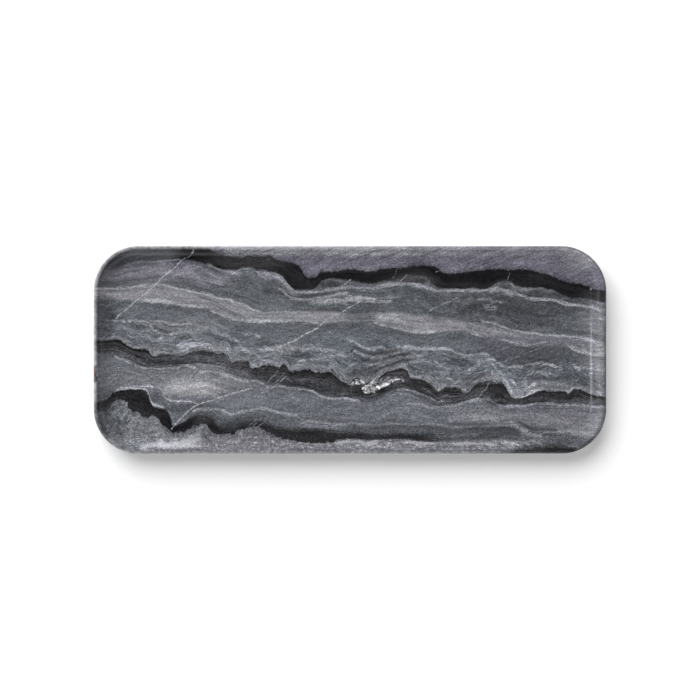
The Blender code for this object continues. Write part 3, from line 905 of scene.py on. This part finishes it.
# Ground tones from the top of the stone to the bottom, one unit for each bed or gap passed
groundTones = [
    (0.0, "cream"), (0.3, "mistLilac"), (0.6, "lilac"), (0.85, "lilac"), (1.1, "deepSlate"),
    (1.9, "deepSlate"), (2.05, "slate"), (2.4, "slate"), (2.96, "slate"), (3.06, "warmGrey"),
    (3.5, "cream"), (3.94, "warmGrey"), (4.03, "slate"), (4.3, "blueSlate"), (4.76, "blueSlate"),
    (4.92, "grey"), (4.98, "grey"), (5.05, "ink"), (5.6, "charcoal"), (6.0, "deepSlate"),
    (6.12, "greyLilac"), (6.6, "greyLilac"), (6.85, "slate"), (7.0, "slate"), (7.1, "slate"),
    (7.9, "slate"), (8.08, "grey"), (8.5, "grey"), (9.0, "greyLilac"),
]

# The grain: cell size in millimetres (along the beds, across them, in height), detail, roughness and
# distortion of each noise, and by how many stops it lightens and darkens each zone. The zones start at
# these numbers of beds passed: lilac, black, slate, ribbon, slate, crumpled, black, slate, black, crust.
zoneStarts = [0, 1, 2, 3, 4, 4.45, 5, 6, 7, 8, 9]
zoneBlend = 0.08  # how far from its ends, in beds passed, a zone has its own stops
noiseRange = (0.25, 0.75)  # the values of a noise that darken and lighten by all of its stops
grains = {
    "broad": {"cell": (40, 6, 20), "noise": (3.0, 0.6, 0.4),
              "stops": (0.4, 0.4, 0.4, 0.3, 0.3, 0.45, 0.5, 0.3, 0.4, 0.3)},
    "lamina": {"cell": (50, 1.9, 20), "noise": (2.0, 0.5, 0.3),
               "stops": (0.2, 0.25, 0.35, 0.35, 0.25, 0.55, 1.1, 0.35, 0.5, 0.25)},
    "streak": {"cell": (12, 1.3, 8), "noise": (2.0, 0.6, 0.5),
               "stops": (0.3, 0.25, 0.4, 0.35, 0.3, 0.6, 0.8, 0.3, 0.3, 0.35)},
    "wisp": {"cell": (17, 4, 12), "noise": (2.0, 0.5, 0.6), "pale": 0.53, "dark": 0.44, "width": 0.03,
             "stops": (0.0, 0.0, 0.15, 0.1, 0.1, 0.75, 0.4, 0.15, 0.0, 0.1)},
    "slash": {"cell": (20, 1.5, 8), "noise": (2.0, 0.6, 0.2),
              "stops": (0.5, 0.1, 0.2, 0.1, 0.4, 0.25, 0.15, 0.2, 0.2, 0.3)},
    "mottle": {"cell": (3.2, 3.2, 3.2), "noise": (3.0, 0.65, 0.0),
               "stops": (0.3, 0.5, 0.33, 0.2, 0.25, 0.28, 0.45, 0.25, 0.3, 0.6)},
    "salt": {"cell": (1.1, 0.75, 0.8), "noise": (1.0, 0.6, 0.0),
             "stops": (0.95, 0.45, 0.75, 0.7, 0.8, 0.72, 0.95, 0.85, 1.1, 1.1)},
}

# The beds laid on the ground: edge softness and raggedness in pixels, (top, bottom) each, and where
# along the tray they fade in and out. The lower bed's top edge softens along the tray, as (x, pixels).
bedEdges = {
    "upper": {"soft": (1.5, 1.7), "rag": (5.5, 5.0), "from": (166, 188)},
    "middle": {"soft": (0.8, 9.0), "rag": (9.0, 3.0)},
    "lower": {"soft": (1.6, 0.8), "rag": (4.0, 9.0), "from": (455, 425),
              "topSoft": [(94, 1), (165, 1.2), (190, 3), (212, 8), (235, 10), (262, 9), (300, 5),
                          (340, 3), (380, 4), (606, 5)]},
    "foot": {"soft": (6.0, 0.8), "rag": (2.5, 1.0), "from": (504, 512)},
    "crust": {"soft": (1.0, 1.0), "rag": (7.0, 0.0)},
    "pocket": {"soft": (0.6, 0.6), "rag": (3.0, 3.0), "from": (346, 349), "to": (408, 404)},
}
softMost = 20  # the most pixels that an edge's softness can reach
curveRoom = 0.05  # how far past each side of the tray an edge can run, in shares of a curve's range

# The black beds turn from jet to ink with the broad grain. The middle one pales to charcoal and then
# to deep slate between these depths in it. The crust pales with the mottle.
bedTones = {"ink": (0.42, 0.62), "charcoal": (0.0, 0.4), "deepSlate": (0.3, 1.0), "crustPale": (0.5, 0.7)}

# The pocket's crystals: their size in millimetres, how dark and how bright they get, and the shade on
# the upper half of its right end, which starts between these pixels
crystals = {"cell": 1.8, "bright": (0.1, 0.95),
            "shade": 0.75, "shadeFrom": (376, 380), "shadeDepth": (0.75, 0.5)}


def traceCurve(tree, along, points):
    # A Float Curve through (share along the tray, value) points, each smoothed but never past them
    made = place(tree, "FloatCurve", 1.0, along)
    curve = made.mapping.curves[0]
    curve.points[0].location = points[0]
    curve.points[1].location = points[-1]
    for point in points[1:-1]:
        curve.points.new(*point)
    for point in curve.points:
        point.handle_type = "AUTO_CLAMPED"
    made.mapping.update()
    return made.outputs[0]


def onTray(x):
    return min(max(alongShare(x), 0.0), 1.0)


def edgeCurve(tree, along, points):
    # A height across the tray as a curve of the place along it, both as shares. The curve is squeezed
    # to leave room past both sides of the tray, and its result is stretched back.
    held = 1 - 2 * curveRoom
    shares = [(onTray(x), downShare(y) * held + curveRoom) for x, y in points]
    return sums(tree, "MULTIPLY_ADD", traceCurve(tree, along, shares), 1 / held, -curveRoom / held)


def easeAlong(tree, along, first, last):
    # Eased between two places along the tray, given in pixels
    return ease(tree, along, alongShare(first), alongShare(last))


def trayShares(tree, parts):
    # Where a point lies along and down the tray, as shares, from its X and Y in millimetres
    return (sums(tree, "MULTIPLY_ADD", parts["X"], mm / trayLength, 0.5),
            sums(tree, "MULTIPLY_ADD", parts["Y"], -mm / trayWidth, 0.5))


def stoneSpace(tree):
    # Point is in millimetres from the tray's middle. Along and down are shares of its length and width.
    # On the outer side and the underside the pattern shifts by the dip, so that the beds slope into
    # the stone.
    coords = place(tree, "TexCoord").outputs["Object"]
    drop = attribute(tree, "sideDrop")
    shift = times(tree, drop, -marble["dip"] / mm)
    offset = place(tree, "CombineXYZ", 0.0, shift, 0.0).outputs[0]
    point = vectors(tree, "MULTIPLY_ADD", coords, (1 / mm,) * 3, offset)
    warp = grain(tree, inCells(tree, point, marble["bendCell"]), 3.0, output="Color")
    warpParts = place(tree, "SeparateColor", warp).outputs
    warp = vectors(tree, "SUBTRACT", place(tree, "CombineXYZ", *warpParts).outputs[0], (0.5, 0.5, 0.5))
    bent = vectors(tree, "MULTIPLY_ADD", warp, (marble["bend"] * 2,) * 3, point)
    parts = place(tree, "SeparateXYZ", bent).outputs
    along, down = trayShares(tree, parts)
    rag = sums(tree, "SUBTRACT", grain(tree, inCells(tree, point, marble["frayCell"]), 3.0, 0.7), 0.5)
    space = {"drop": drop, "point": point, "bent": bent, "along": along, "down": down, "rag": rag}

    # Strata is how far down through the beds a point lies: one for each bed or gap passed. Level is
    # the same in millimetres.
    back, front = marble["sides"]
    edges = [back]
    for name in ("upper", "ribbon", "middle", "lower"):
        for side in ("top", "bottom"):
            space[name + side] = edgeCurve(tree, along, beds[name][side])
            edges.append(space[name + side])
    edges.append(front)
    strata = 0.0
    level = 0.0
    for thickness, upper, lower in zip(bedThickness, edges, edges[1:]):
        share = span(tree, down, upper, lower)
        strata = sums(tree, "ADD", share, strata)
        level = sums(tree, "MULTIPLY_ADD", share, float(thickness), level)
    space["strata"] = strata

    # The flow runs with the beds, and is crumpled between the ribbon and the middle bed
    zone = times(tree, ease(tree, strata, *marble["foldFrom"]), ease(tree, strata, *marble["foldTo"]))
    reach = span(tree, zone, 0.0, 1.0, *(2 * fold for fold in marble["fold"]))
    fold = sums(tree, "SUBTRACT", grain(tree, inCells(tree, point, *marble["foldCell"])), 0.5)
    level = sums(tree, "MULTIPLY_ADD", fold, reach, level)
    flow = place(tree, "CombineXYZ", parts["X"], level, parts["Z"]).outputs[0]
    turned = place(tree, "VectorRotate", point, None, None, math.radians(marble["slashTurn"]),
                   rotation_type="Z_AXIS").outputs[0]
    for name, kind in grains.items():
        source = {"slash": turned, "mottle": point, "salt": point}.get(name, flow)
        space[name] = grain(tree, inCells(tree, source, *kind["cell"]), *kind["noise"])
    return space


def layPatches(tree, space, colour, kind):
    # All the patches of one kind in a group of their own, laid on the given colour one after another
    inner, given, out = newGroup(
        "patches on the " + kind, {"Point": "Vector", "Rough": "Float", "Colour": "Color"},
        {"Colour": "Color"},
    )
    tone = given["Colour"]
    for x, y, reachX, reachY, name, strength in patches[kind]:
        shrink = (1 / (reachX * metresPerPixel / mm), 1 / (reachY * metresPerPixel / mm), 0.0)
        mask = use(inner, groups["patch"], Point=given["Point"], Centre=photoPoint(x, y), Shrink=shrink,
                   Rough=given["Rough"])["Mask"]
        tone = mix(inner, times(inner, mask, strength), tone, paint(name))
    feed(inner, out["Colour"], tone)
    return use(tree, inner, Point=space["bent"], Rough=space["mottle"], Colour=colour)["Colour"]


def layGround(tree, space):
    # The tone of each bed and gap, with the soft patches on it
    last = groundTones[-1][0]
    ramp = place(tree, "ValToRGB", sums(tree, "DIVIDE", space["strata"], last))
    bands = ramp.color_ramp.elements
    while len(bands) < len(groundTones):
        bands.new(0.5)
    for element, (level, name) in zip(bands, groundTones):
        element.position = level / last
        element.color = paint(name)
    return layPatches(tree, space, ramp.outputs[0], "ground")


def bedMask(tree, space, name):
    # One inside the bed of this name, and how far down in it a point lies, from 0 to 1
    edge = bedEdges[name]
    for side in ("top", "bottom"):
        if name + side not in space:
            space[name + side] = edgeCurve(tree, space["along"], beds[name][side])
    topSoft, bottomSoft = (pixels(count) for count in edge["soft"])
    if "topSoft" in edge:
        steps = [(onTray(x), count / softMost) for x, count in edge["topSoft"]]
        topSoft = times(tree, traceCurve(tree, space["along"], steps), pixels(softMost))
    bed = use(
        tree, groups["bed"], Down=space["down"], Top=space[name + "top"], Bottom=space[name + "bottom"],
        TopSoft=topSoft, BottomSoft=bottomSoft, Ragged=space["rag"],
        TopRag=pixels(edge["rag"][0]), BottomRag=pixels(edge["rag"][1]),
    )
    mask = bed["Mask"]
    for limit in ("from", "to"):
        if limit in edge:
            mask = times(tree, mask, easeAlong(tree, space["along"], *edge[limit]))
    return mask, bed["Depth"]


def layBlackBeds(tree, space, colour):
    # The black beds, then the black foot at the front edge. The middle bed pales downwards.
    jet = mix(tree, span(tree, space["broad"], *bedTones["ink"]), paint("jet"), paint("ink"))
    jet = layPatches(tree, space, jet, "black")
    for name in ("upper", "middle", "lower", "foot"):
        mask, depth = bedMask(tree, space, name)
        tone = jet
        if name == "middle":
            for step in ("charcoal", "deepSlate"):
                tone = mix(tree, ease(tree, depth, *bedTones[step]), tone, paint(step))
            tone = layPatches(tree, space, tone, "middle")
        colour = mix(tree, mask, colour, tone)
    return colour


def layCrust(tree, space, colour):
    # The granular crust at the front
    mask = bedMask(tree, space, "crust")[0]
    pale = ease(tree, space["mottle"], *bedTones["crustPale"])
    tone = mix(tree, pale, paint("crustGrey"), paint("crustPale"))
    return mix(tree, mask, colour, layPatches(tree, space, tone, "crust"))


def layPocket(tree, space, colour):
    # The pocket of crystals in the middle bed: flat facets, each of its own brightness
    mask, depth = bedMask(tree, space, "pocket")
    facets = cells(tree, inCells(tree, space["bent"], crystals["cell"]))
    spark = place(tree, "SeparateColor", facets["Color"]).outputs[0]
    tone = mix(tree, ease(tree, spark, *crystals["bright"]), paint("deepSlate"), paint("white"))
    shaded = times(tree, easeAlong(tree, space["along"], *crystals["shadeFrom"]),
                   ease(tree, depth, *crystals["shadeDepth"]))
    tone = mix(tree, times(tree, shaded, crystals["shade"]), tone, paint("deepSlate"))
    return mix(tree, mask, colour, tone)


def laySeams(tree, space, colour, names):
    # The seams of these colours, which wander with the streaks. Those of one colour share a group,
    # which keeps the strongest at each place. All that a group is given comes after the streaks: the
    # renderer runs out of room when parts of many seams are worked out long before the rest.
    sway = place(tree, "CombineXYZ", 0.0, sums(tree, "SUBTRACT", space["streak"], 0.5), 0.0).outputs[0]
    swayed = vectors(tree, "MULTIPLY_ADD", sway, (marble["sway"]["seam"],) * 3, space["bent"])
    along, down = trayShares(tree, place(tree, "SeparateXYZ", swayed).outputs)
    speck = span(tree, space["salt"], *marble["speck"]["seam"])
    for name in names:
        inner, given, out = newGroup(
            "seams " + name, {"Along": "Float", "Down": "Float", "Rough": "Float"}, {"Mask": "Float"},
        )
        whole = 0.0
        for half, strength, points in seams[name]:
            centre = edgeCurve(inner, given["Along"], points)
            mask = use(
                inner, groups["seam"], Down=given["Down"], Centre=centre, Along=given["Along"],
                Start=alongShare(points[0][0]), End=alongShare(points[-1][0]),
                Fade=marble["seamFadeShare"], HalfWidth=pixels(marble["widen"]["seam"] * half),
                Rough=given["Rough"],
            )["Mask"]
            whole = sums(inner, "MAXIMUM", times(inner, mask, strength), whole)
        feed(inner, out["Mask"], whole)
        mask = use(tree, inner, Along=along, Down=down, Rough=space["streak"])["Mask"]
        colour = mix(tree, times(tree, mask, speck), colour, paint(name))
    return colour


def layCracks(tree, space, colour):
    # The same for the cracks, which wobble across their usual slant. Each pair of neighbouring points
    # is one straight crack.
    sway = place(tree, "CombineXYZ", space["rag"], times(tree, space["rag"], -1.0), 0.0).outputs[0]
    swayed = vectors(tree, "MULTIPLY_ADD", sway, (marble["sway"]["crack"],) * 3, space["point"])
    rough = sums(tree, "MULTIPLY_ADD", space["rag"], marble["crackRough"], 0.5)
    speck = span(tree, space["salt"], *marble["speck"]["crack"])
    widen = marble["widen"]["crack"] * metresPerPixel / mm
    for name, lines in cracks.items():
        inner, given, out = newGroup(
            "cracks " + name, {"Point": "Vector", "Rough": "Float"}, {"Mask": "Float"},
        )
        whole = 0.0
        for half, strength, points in lines:
            places = [np.array(photoPoint(x, y)) for x, y in points]
            for start, end in zip(places, places[1:]):
                length = float(np.linalg.norm(end - start))
                heading = (end - start) / length
                mask = use(
                    inner, groups["crack"], Point=given["Point"], Start=start, Heading=heading,
                    Side=(-heading[1], heading[0], 0.0), Length=length, HalfWidth=half * widen,
                    Rough=given["Rough"],
                )["Mask"]
                whole = sums(inner, "MAXIMUM", times(inner, mask, strength), whole)
        feed(inner, out["Mask"], whole)
        mask = use(tree, inner, Point=swayed, Rough=rough)["Mask"]
        colour = mix(tree, times(tree, mask, speck), colour, paint(name))
    return colour


def layGrain(tree, space, colour):
    # The grain lightens and darkens the colour: 2 to the power of the stops, each noise between
    # minus and plus its own stops in each zone. Wisps are the lines where their noise crosses one
    # level, which are pale, or another, which are dark.
    last = zoneStarts[-1]
    depth = sums(tree, "DIVIDE", space["strata"], float(last))
    most = max(max(kind["stops"]) for kind in grains.values())
    stops = 0.0
    for name, kind in grains.items():
        steps = []
        for start, end, value in zip(zoneStarts, zoneStarts[1:], kind["stops"]):
            steps.append(((start + zoneBlend) / last, value / most))
            steps.append(((end - zoneBlend) / last, value / most))
        if name == "wisp":
            pale, dark = (sums(tree, "ABSOLUTE", sums(tree, "SUBTRACT", space[name], kind[side]))
                          for side in ("pale", "dark"))
            lines = sums(tree, "ADD", ease(tree, pale, kind["width"], 0.0, 0.0, most),
                         ease(tree, dark, kind["width"], 0.0, 0.0, -most))
        else:
            lines = span(tree, space[name], *noiseRange, -most, most)
        stops = sums(tree, "MULTIPLY_ADD", lines, traceCurve(tree, depth, steps), stops)
    return vectors(tree, "SCALE", colour, None, None, sums(tree, "POWER", 2.0, stops))


def layEdge(tree, space, colour):
    # The paler outer edge: partly wear with the chips in it, partly a painted highlight, then painted
    # shade towards the right end
    inset = attribute(tree, "edgeInset")
    edge = times(tree, ease(tree, inset, *marble["edgeInset"]),
                 ease(tree, space["drop"], *marble["edgeDrop"]))
    # Painted highlight on the rim at the left and along the front, mixed with wear and broken up by the
    # mottle
    left = times(tree, ease(tree, space["along"], *marble["leftRimHighlight"]),
                 ease(tree, space["down"], *marble["leftRimHighlightDown"]))
    front = times(tree, ease(tree, space["down"], *marble["frontLipHighlight"]),
                  ease(tree, space["along"], *marble["frontLipHighlightAlong"]))
    wearAndHighlight = times(tree, sums(tree, "MAXIMUM", left, front),
                 span(tree, space["mottle"], *marble["paleEdgeChips"]))
    colour = mix(tree, times(tree, edge, wearAndHighlight), colour, paint("edgePale"))
    colour = layPatches(tree, space, colour, "chip")
    # Painted shade on the rim, growing towards the right end
    shade = ease(tree, space["along"], *marble["rightShade"])
    return mix(tree, times(tree, edge, shade), colour, paint("ink"))


def makeMarble():
    # The ground, the beds and most seams come before the grain, and the brightest lines after it
    material, tree = newMaterial("banded_marble")
    space = stoneSpace(tree)
    colour = layGround(tree, space)
    colour = layBlackBeds(tree, space, colour)
    colour = layCrust(tree, space, colour)
    colour = layPocket(tree, space, colour)
    colour = laySeams(tree, space, colour, [name for name in seams if name != "frost"])
    colour = layGrain(tree, space, colour)
    colour = laySeams(tree, space, colour, ["frost"])
    colour = layCracks(tree, space, colour)
    colour = layEdge(tree, space, colour)

    under = ease(tree, space["drop"], *marble["underDrop"])
    saw = grain(tree, inCells(tree, space["point"], *marble["sawCell"]), 2.0, 0.6)
    dust = span(tree, saw, *marble["sawDust"])
    colour = mix(tree, times(tree, under, dust), colour, paint("mistLilac"))
    polish = span(tree, space["mottle"], *marble["polish"])
    polish = sums(tree, "MULTIPLY_ADD", under, marble["sawRough"], polish)
    finishShader(tree, marble, colour, polish, space["salt"])
    return material


tray = makeStone()
tray.data.materials.append(makeMarble())
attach(tray, "root")
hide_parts("marble_body")
print("scene: stone made, with", len(tray.data.polygons), "faces")


# The rubber pads and the foam tape, which keep the CAD model's own shapes. Cells, rings and heights
# are in millimetres, and four numbers in a row are a step, as for the marble.

rubber = {
    "body": (27, 27, 29),
    "foot": (74, 73, 72),
    "centre": (166, 47),
    "ring": 1.3,
    "ringScuff": 0.12,
    "ringRelief": 0.4,
    "footHeight": 0.35,
    "scuff": (0.4, 0.65),
    "pebbleCell": 0.4,
    "pebble": (0.35, 0.65, -0.25, 0.25),
    "blotchCell": 3,
    "roughness": (0.3, 0.7, 0.55, 0.85),
    "specularLevel": 0.4,
    "bump": (0.7, 0.00012),
}
foam = {
    "skin": (206, 202, 192),
    "pore": (150, 144, 132),
    "poreCell": 0.28,
    "hollow": (0.45, 0.15),
    "blotchCell": 1.5,
    "blotch": (0.3, 0.7, 0.3, 1.0),
    "roughness": (0.3, 0.7, 0.8, 0.95),
    "specularLevel": 0.2,
    "bump": (0.5, 0.00008),
}


def makeRubber():
    # Moulded black rubber: a fine pebble grain and grip rings round each pad's own centre, where the
    # rings' height is the sine of the distance from it. The foot is scuffed paler on the rings' tops.
    material, tree = newMaterial("moulded_rubber")
    point = objectPoint(tree)
    pebble = grain(tree, inCells(tree, point, rubber["pebbleCell"]), 3.0, 0.6)
    blotch = grain(tree, inCells(tree, point, rubber["blotchCell"]), 3.0, 0.6)
    height = place(tree, "SeparateXYZ", point).outputs["Z"]
    off = vectors(tree, "SUBTRACT", vectors(tree, "ABSOLUTE", point), (*rubber["centre"], 0.0))
    away = vectors(tree, "LENGTH", vectors(tree, "MULTIPLY", off, (1.0, 1.0, 0.0)))
    ring = sums(tree, "SINE", times(tree, away, math.tau / rubber["ring"]))
    low = ease(tree, height, rubber["footHeight"], 0.0)
    rubbed = sums(tree, "MULTIPLY_ADD", ring, rubber["ringScuff"], blotch)
    scuff = times(tree, low, ease(tree, rubbed, *rubber["scuff"]))
    scuff = sums(tree, "ADD", span(tree, pebble, *rubber["pebble"]), scuff)
    colour = mix(tree, sums(tree, "MAXIMUM", scuff, 0.0), tint(rubber["body"]), tint(rubber["foot"]))
    relief = sums(tree, "MULTIPLY_ADD", times(tree, ring, low), rubber["ringRelief"], pebble)
    finishShader(tree, rubber, colour, span(tree, blotch, *rubber["roughness"]), relief)
    return material


def makeFoam():
    # Closed-cell foam: each pore is a hollow in its own cell, darkened with painted shade, under a
    # slightly yellowed skin
    material, tree = newMaterial("foam_tape_cells")
    point = objectPoint(tree)
    pores = cells(tree, inCells(tree, point, foam["poreCell"]))["Distance"]
    # Painted shade in the hollow of each pore
    hollow = ease(tree, pores, *foam["hollow"])
    blotch = grain(tree, inCells(tree, point, foam["blotchCell"]), 3.0, 0.6)
    shade = times(tree, hollow, span(tree, blotch, *foam["blotch"]))
    colour = mix(tree, shade, tint(foam["skin"]), tint(foam["pore"]))
    finishShader(tree, foam, colour, span(tree, blotch, *foam["roughness"]), pores)
    return material


for start, material in (("rubber_pad_", makeRubber()), ("tape_disc_", makeFoam())):
    for corner in ("front_left", "front_right", "back_left", "back_right"):
        node = bpy.data.objects[start + corner]
        node.data.materials.clear()
        node.data.materials.append(material)
print("scene: pads and tape have their materials")


# The floor. Lift is what the camera sees added to the paper, so that it reads as white.

paper = {"reach": 6.0, "colour": (0.95, 0.95, 0.95, 1), "roughness": 0.9, "lift": 0.18}


def makeFloor():
    reach = paper["reach"]
    corners = [(-reach, -reach, 0), (reach, -reach, 0), (reach, reach, 0), (-reach, reach, 0)]
    piece = addPiece("floor", corners, [(0, 1, 2, 3)])
    material, tree = newMaterial("white_paper")
    shader = tree.nodes["Principled BSDF"]
    shader.inputs["Base Color"].default_value = paper["colour"]
    shader.inputs["Roughness"].default_value = paper["roughness"]
    shader.inputs["Specular IOR Level"].default_value = 0.0
    shader.inputs["Emission Color"].default_value = (1, 1, 1, 1)
    path = place(tree, "LightPath").outputs
    seen = sums(tree, "ADD", path["Is Camera Ray"], path["Is Glossy Ray"])
    seen = sums(tree, "ADD", seen, path["Is Transmission Ray"], clamp=True)
    tree.links.new(times(tree, seen, paper["lift"]), shader.inputs["Emission Strength"])
    piece.data.materials.append(material)


makeFloor()
print("scene: floor laid")


# Light and camera

light = {
    "key": {"from": (-0.52, 1.0, 1.0), "spread": 60.0, "strength": 3.45},
    "strip": {"from": (-1.47, -0.023, 4.0), "size": (0.11, 1.3), "power": 7.0},
    # The world is dim overhead and bright at the horizon, eased between two heights (shares of straight
    # up), and brighter by 1 + glow times how far the direction points to glowFrom
    "world": {"heights": (0.6, 0.09), "overhead": 0.03, "horizon": 1.2,
              "glow": 1.9, "glowFrom": (-0.5, -0.87, 0.0)},
}
view = {"height": 3.0, "sensor": 36.0, "clip": (0.1, 50.0)}


def addLamp(name, kind):
    # A lamp that shines from its place towards the origin
    lamp = bpy.data.objects.new(name, bpy.data.lights.new(name, kind))
    lamp.location = light[name]["from"]
    lamp.rotation_mode = "QUATERNION"
    lamp.rotation_quaternion = lamp.location.to_track_quat("Z", "Y")
    bpy.context.scene.collection.objects.link(lamp)
    return lamp


def makeLamps():
    # The key only lights, and the strip only shines in the stone
    key = addLamp("key", "SUN")
    key.data.angle = math.radians(light["key"]["spread"])
    key.data.energy = light["key"]["strength"]
    key.visible_glossy = False
    strip = addLamp("strip", "AREA")
    strip.data.shape = "RECTANGLE"
    strip.data.size, strip.data.size_y = light["strip"]["size"]
    strip.data.energy = light["strip"]["power"]
    strip.visible_diffuse = False


def makeWorld():
    # The camera sees it plain white
    world = bpy.data.worlds.new("studio")
    world.use_nodes = True
    tree = world.node_tree
    sky = light["world"]
    path = place(tree, "LightPath").outputs
    way = place(tree, "TexCoord").outputs["Generated"]
    up = place(tree, "SeparateXYZ", way).outputs["Z"]
    fill = ease(tree, up, *sky["heights"], sky["overhead"], sky["horizon"])
    facing = vectors(tree, "DOT_PRODUCT", way, sky["glowFrom"])
    fill = times(tree, fill, span(tree, facing, 0.0, 1.0, 1.0, 1.0 + sky["glow"]))
    tree.nodes["Background"].inputs["Color"].default_value = (1, 1, 1, 1)
    feed(tree, tree.nodes["Background"].inputs["Strength"],
         sums(tree, "MAXIMUM", fill, path["Is Camera Ray"]))
    bpy.context.scene.world = world


def makeCamera():
    # Straight above, so high that one pixel at the rim is the tray's length over its pixels
    data = bpy.data.cameras.new("camera")
    data.sensor_width = view["sensor"]
    data.lens = view["sensor"] * view["height"] / (metresPerPixel * photo["side"])
    data.clip_start, data.clip_end = view["clip"]
    camera = bpy.data.objects.new("camera", data)
    middleX = (photo["trayLeft"] + photo["trayRight"] - photo["side"]) / 2
    middleY = (photo["trayTop"] + photo["trayBottom"] - photo["side"]) / 2
    camera.location = (-middleX * metresPerPixel, middleY * metresPerPixel, stoneHigh.z + view["height"])
    bpy.context.scene.collection.objects.link(camera)
    bpy.context.scene.camera = camera


makeLamps()
makeWorld()
makeCamera()
bpy.context.scene.view_settings.view_transform = "Standard"
print("scene: light and camera set")

print("scene: done")
